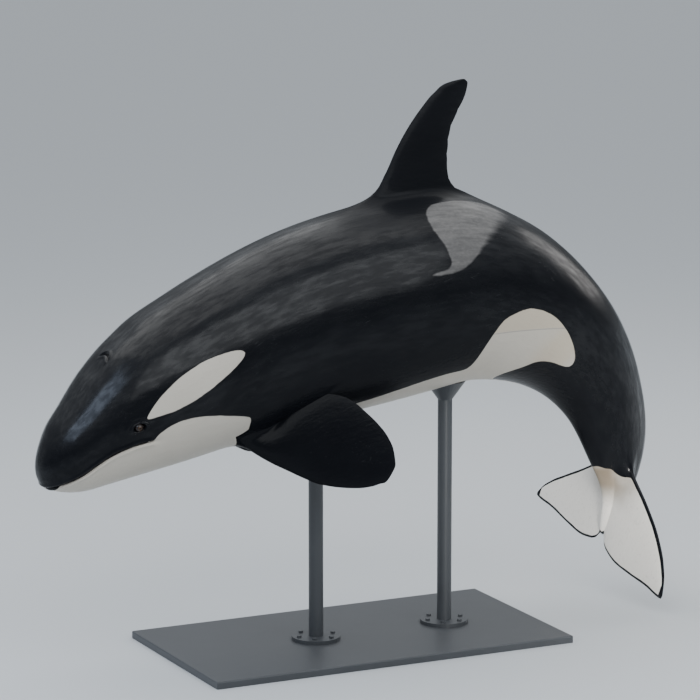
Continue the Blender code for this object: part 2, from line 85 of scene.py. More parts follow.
def smooth(xs, ys):
    """A curve through the knots that doesn't overshoot them."""
    xs = np.array(xs, float)
    ys = np.array(ys, float)
    step = np.diff(xs)
    rise = np.diff(ys) / step
    slope = np.zeros(len(xs))
    slope[1:-1] = (rise[:-1] * step[1:] + rise[1:] * step[:-1]) / (step[:-1] + step[1:])
    slope[0] = 2 * rise[0] - slope[1]
    slope[-1] = 2 * rise[-1] - slope[-2]
    for i in range(1, len(xs) - 1):
        most = 3 * min(abs(rise[i - 1]), abs(rise[i]))
        slope[i] = 0.0 if rise[i - 1] * rise[i] <= 0 else min(max(slope[i], -most), most)

    def value(x):
        x = np.clip(np.asarray(x, float), xs[0], xs[-1])
        i = np.clip(np.searchsorted(xs, x, side="right") - 1, 0, len(xs) - 2)
        t = (x - xs[i]) / step[i]
        return (
            (2 * t**3 - 3 * t**2 + 1) * ys[i]
            + (t**3 - 2 * t**2 + t) * step[i] * slope[i]
            + (3 * t**2 - 2 * t**3) * ys[i + 1]
            + (t**3 - t**2) * step[i] * slope[i + 1]
        )

    return value


back_line = smooth(STATION, BACK)
belly_line = smooth(STATION, BELLY)
width_line = smooth(STATION, HALF_WIDTH)
square_above = smooth(SQUARENESS_AT, SQUARENESS_ABOVE)
square_below = smooth(SQUARENESS_AT, SQUARENESS_BELOW)
mouth_line = smooth(MOUTH_S, MOUTH_UP)


def spine(steps=240):
    """Points along the neutral line with their tailward, up and left directions."""
    share = np.linspace(0, 1.06, steps + 1)
    pitch = smooth(PITCH_AT, np.radians(PITCH))(share)
    turn = smooth(TURN_AT, np.radians(TURN))(share)
    tail = np.array([math.cos(pitch[0]), 0.0, math.sin(pitch[0])])
    up = np.array([-math.sin(pitch[0]), 0.0, math.cos(pitch[0])])
    left = np.array([0.0, -1.0, 0.0])
    place = np.array(SNOUT_PLACE)
    rows = [(place, tail, up, left)]
    for i in range(steps):
        before = tail
        angle = pitch[i + 1] - pitch[i]
        tail, up = tail * math.cos(angle) + up * math.sin(angle), up * math.cos(angle) - tail * math.sin(angle)
        angle = turn[i + 1] - turn[i]
        tail, left = tail * math.cos(angle) + left * math.sin(angle), left * math.cos(angle) - tail * math.sin(angle)
        middle = before + tail
        place = place + middle / np.linalg.norm(middle) * (share[1] - share[0]) * LENGTH
        rows.append((place, tail, up, left))
    return share * LENGTH, [np.array(column) for column in zip(*rows)]


SPINE_S, (SPINE_PLACE, SPINE_TAIL, SPINE_UP, SPINE_LEFT) = spine()


def along(rows, s):
    """One of the spine's vectors at distances s."""
    return np.stack([np.interp(s, SPINE_S, rows[:, axis]) for axis in range(3)], -1)


def bend(points):
    """Points of the straight animal laid along the spine."""
    s, side, up = points[..., 0], points[..., 1:2], points[..., 2:3]
    beyond = np.minimum(s, 0.0)[..., None] * SPINE_TAIL[0]
    return along(SPINE_PLACE, s) + along(SPINE_LEFT, s) * side + along(SPINE_UP, s) * up + beyond


def unbend(points):
    """Where points near the spine lie on the straight animal."""
    ahead = np.einsum("nkc,kc->nk", points[:, None, :] - SPINE_PLACE[None], SPINE_TAIL)
    k = np.argmax(ahead < 0, axis=1)
    n = np.arange(len(points))
    t = ahead[n, k - 1] / (ahead[n, k - 1] - ahead[n, k])
    s = SPINE_S[k - 1] + t * (SPINE_S[k] - SPINE_S[k - 1])
    offset = points - along(SPINE_PLACE, s)
    side = (offset * along(SPINE_LEFT, s)).sum(-1)
    up = (offset * along(SPINE_UP, s)).sum(-1)
    return np.stack([s, side, up], -1)


def section(share):
    """Height of the middle, half the height and half the width, in metres."""
    rounding = np.sqrt(np.clip(1 - (1 - np.minimum(share / SNOUT_LENGTH, 1.0)) ** 2, 0, None))
    top = (SNOUT_UP + (back_line(share) - SNOUT_UP) * rounding) * LENGTH
    low = (SNOUT_UP + (belly_line(share) - SNOUT_UP) * rounding) * LENGTH
    return (top + low) / 2, (top - low) / 2, width_line(share) * rounding * LENGTH


def squareness(share, rise):
    return np.where(rise > 0, square_above(share), square_below(share))


def flank(share, up):
    """How far out the side of the body is at a height."""
    middle, height, half = section(share)
    rise = np.clip((up - middle) / np.maximum(height, 1e-6), -1, 1)
    power = squareness(share, rise)
    return half * np.clip(1 - np.abs(rise) ** power, 0, 1) ** (1 / power)


def ridge(share, side):
    """How high the back is at a distance from the midline."""
    middle, height, half = section(share)
    power = square_above(share)
    return middle + height * np.clip(1 - np.minimum(np.abs(side) / half, 1) ** power, 0, 1) ** (1 / power)


def bump(distance, width):
    """1 at the middle, falling smoothly to 0."""
    return np.exp(-((distance / width) ** 2))


def step(low, high, x):
    t = np.clip((x - low) / (high - low), 0, 1)
    return t * t * (3 - 2 * t)


# Rows of the body from snout to tail: their spacing in metres at shares of the length
row_gap = smooth(
    (0.033, 0.090, 0.096, 0.112, 0.128, 0.200, 0.212, 0.262, 0.300, 0.860, 0.890, 0.99),
    (0.0080, 0.0070, 0.0042, 0.0042, 0.0062, 0.0150, 0.0120, 0.0120, 0.0250, 0.0250, 0.0150, 0.0150),
)
shares = list(SNOUT_LENGTH * (1 - np.cos(np.radians(74) * np.linspace(0, 1, 43))))
while shares[-1] < TAIL_TIP:
    shares.append(shares[-1] + float(row_gap(shares[-1])) / LENGTH)
shares = np.array(shares)
free = shares > SNOUT_ROWS_END
squeeze = (TAIL_TIP - SNOUT_ROWS_END) / (shares[-1] - SNOUT_ROWS_END)
shares[free] = SNOUT_ROWS_END + (shares[free] - SNOUT_ROWS_END) * squeeze

# Columns round the body, from the belly's midline over the left side and the back: crowded
# at the mouth, the eye and the blowhole, and even from the shoulders on
COLUMNS = 192
fine = np.radians(np.linspace(-90, 90, 721))
angles = []
for share in shares:
    middle, height, half = section(share)

    def angle_at(up):
        rise = float(np.clip((up * LENGTH - middle) / max(height, 1e-6), -1, 1))
        return math.asin(math.copysign(abs(rise) ** (float(squareness(share, rise)) / 2), rise))

    crowd = float(step(0.19, 0.125, share))
    density = 1 + crowd * (
        3.2 * bump(fine - angle_at(mouth_line(share)), 0.085)
        + 2.6 * bump(fine - angle_at(EYE_UP), 0.16) * float(step(0.05, 0.09, share))
        + 2.2 * bump(fine - math.pi / 2, 0.30) * float(step(0.06, 0.10, share))
    )
    total = np.concatenate([[0], np.cumsum((density[1:] + density[:-1]) / 2)])
    half_row = np.interp(np.linspace(0, total[-1], COLUMNS // 2 + 1), total, fine)
    angles.append(np.concatenate([half_row, math.pi - half_row[-2::-1]]))
angles = np.array(angles)
folded = np.where(angles > math.pi / 2, math.pi - angles, angles)  # the same on both sides

wide = shares[:, None] + 0 * angles
middle, height, half = section(wide)
power = 2 / squareness(wide, np.sin(angles))
straight = np.stack(
    [
        wide * LENGTH,
        half * np.sign(np.cos(angles)) * np.abs(np.cos(angles)) ** power,
        middle + height * np.sign(np.sin(angles)) * np.abs(np.sin(angles)) ** power,
    ],
    -1,
)
straight[:, -1] = straight[:, 0]
straight[-1] = (TAIL_TIP * LENGTH, 0, 0)

# Which way is out, from the grid itself: row 200 and column 48 lie on the left flank
across = np.gradient(straight, axis=1)
across[:, 0] = across[:, -1] = straight[:, 1] - straight[:, -2]
outward = np.cross(across, np.gradient(straight, axis=0))
outward /= np.maximum(np.linalg.norm(outward, axis=-1, keepdims=True), 1e-9)
if outward[200, 48].dot((0, 1, 0)) < 0:
    outward = -outward

s, side, up = straight[..., 0], straight[..., 1], straight[..., 2]

# Mouth: a groove between two soft lips, which fades behind the corner. How far each stands out,
# its middle above the line of the mouth, and its width.
LIPS = ((0.0075, 0.017, 0.011), (0.0065, -0.016, 0.011), (-0.0085, 0.0, 0.0055))
over_mouth = up - mouth_line(wide) * LENGTH
in_mouth = step(MOUTH_END + 0.006, MOUTH_END - 0.004, wide) * step(-0.9, -0.5, -np.abs(over_mouth))
relief = in_mouth * sum(stands * bump(over_mouth - at, width) for stands, at, width in LIPS)
relief -= 0.006 * bump(wide - MOUTH_END - 0.004, 0.006) * bump(over_mouth + 0.006, 0.020)

# Eye: an almond opening in the flesh with a lid above and below: first the rim of the lids, then
# the fold over the upper one, the crease between the two, and the opening itself
over_eye = (up - EYE_UP * LENGTH) / EYE_HALF_HEIGHT
past_eye = (s - EYE_S * LENGTH) / EYE_HALF_LENGTH
opening = np.sqrt(over_eye**2 + past_eye**2 + 1e-9)
near_eye = step(5.0, 3.0, opening)
relief += near_eye * (
    0.0060 * bump(opening - 1.30, 0.27)
    + 0.0025 * bump(opening - 2.15, 0.3) * step(-0.2, 0.9, over_eye)
    - 0.0020 * bump(opening - 1.78, 0.16)
    - 0.024 * step(1.12, 0.72, opening)
)
relief -= 0.007 * bump(s - (EYE_S * LENGTH + 0.03), 0.16) * bump(up - (EYE_UP * LENGTH + 0.10), 0.06)

# Blowhole: a crescent slit on top of the head, hollow side forward, in a low rim
over_slit = side - BLOWHOLE[1] * LENGTH
bow = np.clip(1 - (2 * over_slit / BLOWHOLE_WIDTH) ** 2, -3, 1)
past_slit = s - (BLOWHOLE[0] * LENGTH + BLOWHOLE_BOW * bow)
on_top = step(0.2, 0.6, np.sin(angles))
in_slit = on_top * step(-0.15, 0.12, bow)
relief += in_slit * (0.0045 * bump(np.abs(past_slit) - 0.018, 0.012) - 0.014 * bump(past_slit, 0.0065))
relief -= on_top * 0.006 * bump(s - (BLOWHOLE[0] * LENGTH - 0.080), 0.050) * bump(side, 0.14)
relief -= on_top * 0.008 * bump(s - (BLOWHOLE[0] * LENGTH + 0.18), 0.09) * bump(side, 0.20)

# Muscle along the tail stock: a low ridge at mid height, with a hollow below it and one above
round_side = np.degrees(folded)
before_flukes = step(0.90, 0.82, wide)
relief += 0.008 * step(0.62, 0.74, wide) * before_flukes * bump(round_side - 12, 16)
relief -= 0.006 * step(0.60, 0.70, wide) * before_flukes * bump(round_side + 32, 12)
relief -= 0.006 * step(0.60, 0.70, wide) * before_flukes * bump(round_side - 50, 12)
carved = straight + outward * relief[..., None]

# The markings, as outlines in shares of the length and degrees round the section
EYE_PATCH = ((0.1150, 7.0), (0.1233, 11.1), (0.1359, 14.8), (0.1505, 17.7), (0.1644, 19.5), (0.1777, 20.9),
             (0.1903, 21.7), (0.2025, 21.9), (0.2140, 21.3), (0.2272, 19.7), (0.2363, 17.6), (0.2400, 15.1),
             (0.2363, 12.8), (0.2296, 10.7), (0.2207, 8.6), (0.2124, 6.8), (0.2012, 4.7), (0.1904, 2.9),
             (0.1749, 1.2), (0.1601, 0.5), (0.1460, 0.9), (0.1322, 2.1), (0.1224, 3.8), (0.1162, 5.7))
WHITE_BELLY = ((0.005, -130), (0.005, -100), (0.0065, -60), (0.011, -30), (0.0175, -12), (0.036, -5), (0.0584, -2),
               (0.080, -2), (0.098, -6), (0.1095, -11), (0.1127, -12.0), (0.1165, -10.3), (0.1211, -8.7),
               (0.130, -7.4), (0.1411, -7.0), (0.1590, -9.1), (0.1799, -14.4), (0.2008, -21.0), (0.2181, -27.4),
               (0.2212, -30), (0.2192, -36), (0.2160, -44), (0.2125, -53), (0.2100, -62), (0.2100, -71),
               (0.216, -78), (0.236, -80), (0.266, -77), (0.296, -71), (0.325, -63), (0.350, -57), (0.3733, -53.5),
               (0.410, -51), (0.450, -48), (0.498, -47), (0.520, -48), (0.5351, -46), (0.5429, -32),
               (0.5472, -25), (0.5542, -17), (0.5606, -10.5), (0.5734, -6), (0.5885, -0.5), (0.6050, 2),
               (0.6241, 2.6), (0.6439, 0.6), (0.6648, -5), (0.6841, -12), (0.6998, -20), (0.7049, -29),
               (0.6901, -33), (0.6704, -34), (0.6498, -38), (0.6367, -48), (0.6163, -60), (0.6186, -74),
               (0.640, -79), (0.680, -83), (0.705, -92), (0.705, -130))
WHITE_TAIL = ((0.892, -140), (0.892, -100), (0.8874, -74), (0.8885, -61), (0.8928, -48), (0.8935, -37),
              (0.9010, -30), (0.9085, -22), (0.9010, -15), (0.9000, -9), (0.915, -6), (0.94, -4), (0.9815, -3),
              (0.9815, -140))
SADDLE = ((0.4865, 67), (0.4967, 72), (0.5093, 77), (0.5247, 84), (0.5447, 92), (0.562, 96), (0.575, 88),
          (0.566, 70), (0.5549, 57), (0.5424, 46), (0.5297, 35), (0.5198, 28), (0.5095, 23), (0.4978, 20),
          (0.4830, 19.5), (0.4649, 20.5), (0.4700, 21.5), (0.4854, 22), (0.4916, 26), (0.4892, 31),
          (0.4879, 37), (0.4831, 46), (0.4803, 52), (0.4821, 60))
UNMARKED = -0.5  # as a distance to a marking, far outside it


def to_plane(share, degrees):
    """Shares and degrees as metres over the skin."""
    middle, height, half = section(np.clip(share, 0, TAIL_TIP))
    return np.stack([share * LENGTH, np.radians(degrees) * np.maximum((half + height) / 2, 0.05)], -1)


def inside(outline, places, rounds=5):
    """Signed distance of places to a closed outline, in metres: positive inside."""
    knots = np.array(outline, float)
    t = np.linspace(0, 1, rounds, endpoint=False)[:, None, None]
    before, here, after, later = (np.roll(knots, shift, 0)[None] for shift in (1, 0, -1, -2))
    curve = 0.5 * (
        2 * here + (after - before) * t + (2 * before - 5 * here + 4 * after - later) * t**2
        + (3 * here - before - 3 * after + later) * t**3
    )
    curve = curve.transpose(1, 0, 2).reshape(-1, 2)
    for _ in range(7):
        curve = (np.roll(curve, 1, 0) + 2 * curve + np.roll(curve, -1, 0)) / 4
    corners = to_plane(curve[:, 0], curve[:, 1])
    best = np.full(len(places), 9.0)
    odd = np.zeros(len(places), bool)
    for a, b in zip(corners, np.roll(corners, -1, 0)):
        edge = b - a
        t = np.clip(((places - a) @ edge) / max(edge @ edge, 1e-12), 0, 1)
        best = np.minimum(best, np.linalg.norm(places - a - t[:, None] * edge, axis=1))
        if a[1] != b[1]:
            crosses = (places[:, 1] < a[1]) != (places[:, 1] < b[1])
            odd ^= crosses & (places[:, 0] < a[0] + (places[:, 1] - a[1]) / (b[1] - a[1]) * edge[0])
    return np.where(odd, best, -best)


def marked(outline, points):
    """Signed distance of points of the straight animal to an outline drawn on its skin."""
    share = np.clip(points[..., 0] / LENGTH, 1e-5, TAIL_TIP)
    middle, height, half = section(share)
    rise = (points[..., 2] - middle) / np.maximum(height, 1e-6)
    power = squareness(share, rise) / 2
    reach = np.abs(points[..., 1] / np.maximum(half, 1e-6))
    angle = np.arctan2(np.sign(rise) * np.abs(rise) ** power, reach**power)
    return inside(outline, to_plane(share, np.degrees(angle)).reshape(-1, 2)).reshape(share.shape)


white_chin = marked(WHITE_BELLY, straight)
white_chin = np.minimum(white_chin, step(MOUTH_END - 0.006, MOUTH_END, wide) - over_mouth - 0.001)
white = np.max([marked(EYE_PATCH, straight), marked(WHITE_TAIL, straight), white_chin], axis=0)
saddle = marked(SADDLE, straight)

skin_mesh = bmesh.new()
straight_layer = skin_mesh.verts.layers.float_vector.new("straight")
white_layer = skin_mesh.verts.layers.float.new("white")
saddle_layer = skin_mesh.verts.layers.float.new("saddle")


def sheet(places, flat, whiteness, greyness):
    """A grid of quads whose points take the given places, row by row."""
    rows, columns = places.shape[:2]
    first = len(skin_mesh.faces)
    verts = bmesh.ops.create_grid(skin_mesh, x_segments=columns - 1, y_segments=rows - 1, size=1.0)["verts"]
    for vert, place, at, pale, grey in zip(
        verts, places.reshape(-1, 3), flat.reshape(-1, 3), whiteness.ravel(), greyness.ravel()
    ):
        vert.co = place
        vert[straight_layer] = at
        vert[white_layer] = pale
        vert[saddle_layer] = grey
    skin_mesh.faces.ensure_lookup_table()
    return first


body_first = sheet(carved, straight, white, saddle)
opened = []


def opening_in(first_row, last_row, first_column, last_column, mirrored=False):
    """Mark a block of the body's faces to go, and give the points round it as (rows, columns).
    Mirrored, the same block on the right side goes too."""
    for j in range(first_row, last_row):
        for i in range(first_column, last_column):
            opened.append(body_first + j * COLUMNS + i)
            if mirrored:
                opened.append(body_first + j * COLUMNS + COLUMNS - 1 - i)
    middle = (first_column + last_column) // 2
    loop = [(first_row, i) for i in range(middle, first_column, -1)]
    loop += [(j, first_column) for j in range(first_row, last_row)]
    loop += [(last_row, i) for i in range(first_column, last_column)]
    loop += [(j, last_column) for j in range(last_row, first_row, -1)]
    loop += [(first_row, i) for i in range(last_column, middle - 1, -1)]
    return tuple(np.array(loop).T)


def blade_angles(rows, columns, first_row, last_row, corner=0.35):
    """Where each point of an opening goes round a fin's section: 0 in front, pi behind."""
    middle = (columns.min() + columns.max()) / 2
    swing = np.abs(columns - middle) / (columns.max() - middle)
    share = (rows - first_row) / (last_row - first_row)
    turn = corner + (math.pi - 2 * corner) * np.arccos(1 - 2 * share) / math.pi
    turn = np.where(rows == first_row, corner * swing, turn)
    turn = np.where(rows == last_row, math.pi - corner * swing, turn)
    return turn, np.where(columns < middle, 1.0, -1.0) * np.where(swing > 0, 1, 0)


def bulge(share):
    return 1.65 * np.sqrt(np.clip(share, 0, 1)) * np.clip(1 - share, 0, 1) ** 0.8 + 0.06 * np.sin(math.pi * share)


def first_outside(point, depth, low, high, steps=40):
    """The parameter at which each of a fin's lines leaves the body."""
    low = np.full_like(depth, low)
    high = np.full_like(depth, high)
    for _ in range(steps):
        half_way = (low + high) / 2
        p = point(half_way)
        out = np.abs(p[..., 1]) - flank(p[..., 0] / LENGTH, p[..., 2])
        high = np.where(out > 0, half_way, high)
        low = np.where(out > 0, low, half_way)
    return high


def over_flank(points):
    return points[..., 1] - flank(points[..., 0] / LENGTH, points[..., 2])


def over_back(points):
    return points[..., 2] - ridge(points[..., 0] / LENGTH, points[..., 1])


def grow(loop, foot, blade_rows, over, way, fillet=9):
    """A fin's sheet from the rim of its opening, through a hollow fillet, to its tip. The fillet
    is lifted along the axis `way` wherever it would sink under the body's own surface."""
    rim = carved[loop]
    rows = [rim]
    for i in range(1, fillet + 1):
        t = i / (fillet + 1)
        row = (1 - t) ** 2 * rim + 2 * t * (1 - t) * foot + t * t * blade_rows[0]
        gap = over(row) - over(rim) * (1 - t) ** 2
        row[:, way] += (np.hypot(gap, 0.03 * t * (1 - t)) - gap) / 2
        rows.append(row)
    return np.array(rows + list(blade_rows))


# ---------------------------------------------------------------------------------------------
# The back fin: low, curved back and stiff, of the same resin, thick and round in front and thin
# behind, with the few small nicks that a working animal's fin has in its trailing edge.

FIN_UP = (0.070, 0.086, 0.100, 0.112, 0.129, 0.156, 0.179, 0.200, 0.2157, 0.2275, 0.2313)
FIN_FRONT = (0.380, 0.398, 0.427, 0.4474, 0.4597, 0.4731, 0.4852, 0.4974, 0.5072, 0.5186, 0.5275)
FIN_REAR_UP = (0.070, 0.095, 0.103, 0.1068, 0.1141, 0.126, 0.150, 0.1756, 0.1928, 0.2137, 0.2274, 0.2313)
FIN_REAR = (0.570, 0.560, 0.5482, 0.5345, 0.5259, 0.5215, 0.5201, 0.5213, 0.5253, 0.5305, 0.5315, 0.5290)
FIN_HALF_THICK = (0.020, 0.0165, 0.0125, 0.0105, 0.0092, 0.0078, 0.0064, 0.0050, 0.0036, 0.0022, 0.0012)
FIN_OPENING = (0.390, 0.582)
FIN_HALF_COLUMNS = 10
FIN_TOP = 0.2309
FIN_TIP = (0.5285, 0.0, 0.2313)
# How high each nick is, how deep, and how wide
NICKS = ((0.148, 0.0005, 0.0022), (0.163, 0.0007, 0.0020), (0.181, 0.0006, 0.0022), (0.199, 0.0005, 0.0020))

fin_front = smooth(FIN_UP, FIN_FRONT)
fin_rear = smooth(FIN_REAR_UP, FIN_REAR)
fin_thick = smooth(FIN_UP, FIN_HALF_THICK)


def row_near(share):
    """The body's row nearest to a share of its length."""
    return int(np.argmin(np.abs(shares - share)))


def steps_out(count):
    """Shares of the way from a fin's root to its tip, closer together near the tip."""
    return np.sin(np.linspace(0, math.pi / 2, count)) ** 1.1


first_row, last_row = (row_near(share) for share in FIN_OPENING)
loop = opening_in(first_row, last_row, COLUMNS // 2 - FIN_HALF_COLUMNS, COLUMNS // 2 + FIN_HALF_COLUMNS)
turn, hand = blade_angles(*loop, first_row, last_row)
chord = (1 - np.cos(turn)) / 2


def fin_point(height):
    """The back fin's surface at a height."""
    front, rear = fin_front(height), fin_rear(height)
    rear = rear - sum(depth * bump(height - at, width) for at, depth, width in NICKS)
    s = (front + (rear - front) * chord) * LENGTH
    side = hand * fin_thick(height) * bulge(chord) * LENGTH
    return np.stack([s, side, height * LENGTH], -1)


# Where each line of the fin leaves the back
leaves = np.full_like(turn, 0.072)
for _ in range(60):
    p = fin_point(leaves)
    leaves = np.clip(leaves + (ridge(p[:, 0] / LENGTH, p[:, 1]) / LENGTH - leaves) * 0.5, 0.07, 0.12)
starts = leaves + 0.010
fin_rows = [fin_point(starts + (FIN_TOP - starts) * x) for x in steps_out(34)]
fin_rows.append(np.broadcast_to(np.array(FIN_TIP) * LENGTH, fin_rows[0].shape))
places = grow(loop, fin_point(leaves), fin_rows, over_back, 2)
past_rim = np.linalg.norm(places - places[0], axis=-1)
sheet(places, places, np.full(places.shape[:2], UNMARKED), marked(SADDLE, places) - past_rim)

# ---------------------------------------------------------------------------------------------
# The flippers: broad rounded paddles of the same resin, jet black, held low off the sides and
# swept back. The right one mirrors the left.

FLIPPER_ROOT = (0.232, 0.055, -0.080)
FLIPPER_AXIS = (0.73, -0.54, 0.43)  # tailward, up, outward
FLIPPER_CHORD = (0.62, 0.78, -0.07)
FLIPPER_AT = (-0.10, 0.0, 0.11, 0.228, 0.337, 0.43, 0.515, 0.62, 0.704, 0.778, 0.830, 0.850)
FLIPPER_LOW = (-0.105, -0.146, -0.182, -0.209, -0.233, -0.247, -0.244, -0.229, -0.207, -0.169, -0.120, -0.050)
FLIPPER_HIGH_AT = (-0.10, 0.0, 0.07, 0.117, 0.144, 0.211, 0.28, 0.362, 0.438, 0.526, 0.606, 0.694, 0.772, 0.82,
                   0.85)
FLIPPER_HIGH = (-0.02, 0.0, 0.02, 0.060, 0.102, 0.187, 0.250, 0.288, 0.295, 0.276, 0.234, 0.180, 0.113, 0.045,
                -0.035)
FLIPPER_HALF_THICK = (0.050, 0.048, 0.044, 0.040, 0.036, 0.033, 0.030, 0.026, 0.022, 0.018, 0.013, 0.009)
FLIPPER_LEAVES = (-0.08, 0.30)  # between these distances out, each of its lines leaves the body
FLIPPER_FOOT = 0.070
FLIPPER_REACH = 0.847
FLIPPER_TIP = (0.850, -0.042)  # out, and along its chord

flipper_low = smooth(FLIPPER_AT, FLIPPER_LOW)
flipper_high = smooth(FLIPPER_HIGH_AT, FLIPPER_HIGH)
flipper_thick = smooth(FLIPPER_AT, FLIPPER_HALF_THICK)
root_s = FLIPPER_ROOT[0] * LENGTH
basis = (along(SPINE_TAIL, root_s), along(SPINE_UP, root_s), along(SPINE_LEFT, root_s))
axis = sum(part * direction for part, direction in zip(FLIPPER_AXIS, basis))
axis /= np.linalg.norm(axis)
blade_chord = sum(part * direction for part, direction in zip(FLIPPER_CHORD, basis))
blade_chord -= axis * blade_chord.dot(axis)
blade_chord /= np.linalg.norm(blade_chord)
blade_normal = np.cross(axis, blade_chord)
root = bend(np.array([root_s, FLIPPER_ROOT[1] * LENGTH, FLIPPER_ROOT[2] * LENGTH]))


def flipper_line(turn):
    """The point of the flipper's surface at a distance out and a turn round its section."""
    chord = (1 - np.cos(turn)) / 2

    def point(run):
        low, high = flipper_low(run), flipper_high(run)
        lie = (low + (high - low) * chord)[..., None]
        thick = (flipper_thick(run) * bulge(chord) * np.sign(np.sin(turn)))[..., None]
        return unbend(root + axis * run[..., None] + blade_chord * lie + blade_normal * thick)

    return point


round_section = np.linspace(0, 2 * math.pi, 80)
near = flipper_line(round_section)(first_outside(flipper_line(round_section), round_section, *FLIPPER_LEAVES))
near_angle = []
for p in near:
    middle, height, half = section(p[0] / LENGTH)
    r = (p[2] - middle) / height
    sine = math.copysign(abs(r) ** (float(squareness(p[0] / LENGTH, r)) / 2), r)
    near_angle.append(math.asin(np.clip(sine, -1, 1)))
first_row = int(np.searchsorted(shares, near[:, 0].min() / LENGTH - 0.015))
last_row = int(np.searchsorted(shares, near[:, 0].max() / LENGTH + 0.015))
row_angles = angles[(first_row + last_row) // 2]
first_column = int(np.searchsorted(row_angles, min(near_angle) - 0.17)) - 1
last_column = int(np.searchsorted(row_angles, max(near_angle) + 0.17))
loop = opening_in(first_row, last_row, first_column, last_column, mirrored=True)
rim = carved[loop]
centre = near.mean(0)
offset = bend(rim) - bend(centre[None])
turn = np.unwrap(np.arctan2(offset @ blade_normal, -(offset @ blade_chord)))
way = np.sign(turn[-1] - turn[0])
even = turn[0] + way * np.linspace(0, 2 * math.pi, len(turn))
turn = 0.55 * turn + 0.45 * even
line = flipper_line(turn)
leaves = first_outside(line, turn, *FLIPPER_LEAVES)
starts = leaves + FLIPPER_FOOT
flipper_rows = [line(starts + (FLIPPER_REACH - starts) * x) for x in steps_out(34)]
tip = unbend((root + axis * FLIPPER_TIP[0] + blade_chord * FLIPPER_TIP[1])[None])[0]
flipper_rows.append(np.broadcast_to(tip, flipper_rows[0].shape))
foot = line(leaves)
places = grow(loop, foot, flipper_rows, over_flank, 1)
places[:, -1] = places[:, 0]
past_rim = np.linalg.norm(places - places[0], axis=-1)
pale = marked(WHITE_BELLY, places) - np.maximum(past_rim - 0.02, 0) * 1.5


def both_sides(places, whiteness):
    """A sheet on the left side, and its mirror image on the right."""
    for hand in (1, -1):
        there = places * (1, hand, 1)
        sheet(there, there, whiteness, np.full_like(whiteness, UNMARKED))


both_sides(places, pale)

# ---------------------------------------------------------------------------------------------
# The flukes: two flat blades of the same resin that spread from the end of the tail with a notch
# between them, black above, and white with a dark margin below.

FLUKE_SIDE = (0.0, 0.0134, 0.0355, 0.0583, 0.0900, 0.1093, 0.1200, 0.1240)
FLUKE_FRONT = (0.872, 0.888, 0.9085, 0.9275, 0.9540, 0.9735, 0.9900, 1.0010)
FLUKE_REAR_SIDE = (0.0, 0.004, 0.0106, 0.021, 0.040, 0.065, 0.0955, 0.115, 0.1240)
FLUKE_REAR = (0.9895, 0.9935, 1.0000, 1.0045, 1.0080, 1.0070, 1.0050, 1.0060, 1.0050)
FLUKE_THICK_AT = (0.0, 0.03, 0.06, 0.10, 0.1240)
FLUKE_HALF_THICK = (0.0115, 0.0090, 0.0062, 0.0036, 0.0015)
FLUKE_OPENING = (0.868, 0.984)
FLUKE_HALF_COLUMNS = 18
FLUKE_REACH = 0.1233
FLUKE_TIP = (1.0035, 0.1240, 0.0)
# The dark margin round the white, in metres: in front, in front again for each share out, behind, at the tip
MARGIN_FRONT, MARGIN_GROWS, MARGIN_REAR, MARGIN_TIP = 0.016, 0.10, 0.017, 0.028
MARGIN_TIP_OUT = 0.1235

fluke_front = smooth(FLUKE_SIDE, FLUKE_FRONT)
fluke_rear = smooth(FLUKE_REAR_SIDE, FLUKE_REAR)
fluke_thick = smooth(FLUKE_THICK_AT, FLUKE_HALF_THICK)
first_row, last_row = (row_near(share) for share in FLUKE_OPENING)
quarter = COLUMNS // 4
loop = opening_in(first_row, last_row, quarter - FLUKE_HALF_COLUMNS, quarter + FLUKE_HALF_COLUMNS, mirrored=True)
turn, hand = blade_angles(*loop, first_row, last_row, 0.45)
chord = (1 - np.cos(turn)) / 2


def fluke_point(out):
    """The left fluke's surface at a distance from the midline."""
    front, rear = fluke_front(out), fluke_rear(out)
    s = (front + (rear - front) * chord) * LENGTH
    return np.stack([s, out * LENGTH, -hand * fluke_thick(out) * bulge(chord) * LENGTH], -1)


leaves = first_outside(fluke_point, turn, 0.0, 0.05)
starts = leaves + 0.006 + 0.008 * np.cos(turn / 2) ** 2
fluke_rows = [fluke_point(starts + (FLUKE_REACH - starts) * x) for x in steps_out(30)]
fluke_rows.append(np.broadcast_to(np.array(FLUKE_TIP) * LENGTH, fluke_rows[0].shape))
foot = fluke_point(leaves)
foot[:, 0] = np.minimum(foot[:, 0], 0.5 * (foot[:, 0] + 0.989 * LENGTH))
places = grow(loop, foot, fluke_rows, over_flank, 1)
share, out, lift = places[..., 0] / LENGTH, places[..., 1] / LENGTH, places[..., 2]
from_front = (share - fluke_front(out)) * LENGTH - MARGIN_FRONT - MARGIN_GROWS * out
from_rear = (fluke_rear(out) - share) * LENGTH - MARGIN_REAR
from_tip = (MARGIN_TIP_OUT - out) * LENGTH - MARGIN_TIP
pale = np.min([from_front, from_rear, from_tip, lift * -6], axis=0)
blend = np.linspace(0, 1, 10)[:, None]  # over the rows of the fillet, from the body's own marking
pale[:10] = white[loop][None] * (1 - blend) + pale[:10] * blend
both_sides(places, pale)

# ---------------------------------------------------------------------------------------------
# Joining and bending the hide, and its finish: the openings are cut, the sheets welded point to
# point along their rims, and the whole laid along the curved spine. The resin is pigmented blue-black,
# grey and cream, scratched along the body, and clear-coated to look wet.


def add_piece(name, mesh):
    """The finished mesh as an object in the scene."""
    data = bpy.data.meshes.new(name)
    mesh.to_mesh(data)
    mesh.free()
    piece = bpy.data.objects.new(name, data)
    bpy.context.scene.collection.objects.link(piece)
    return piece


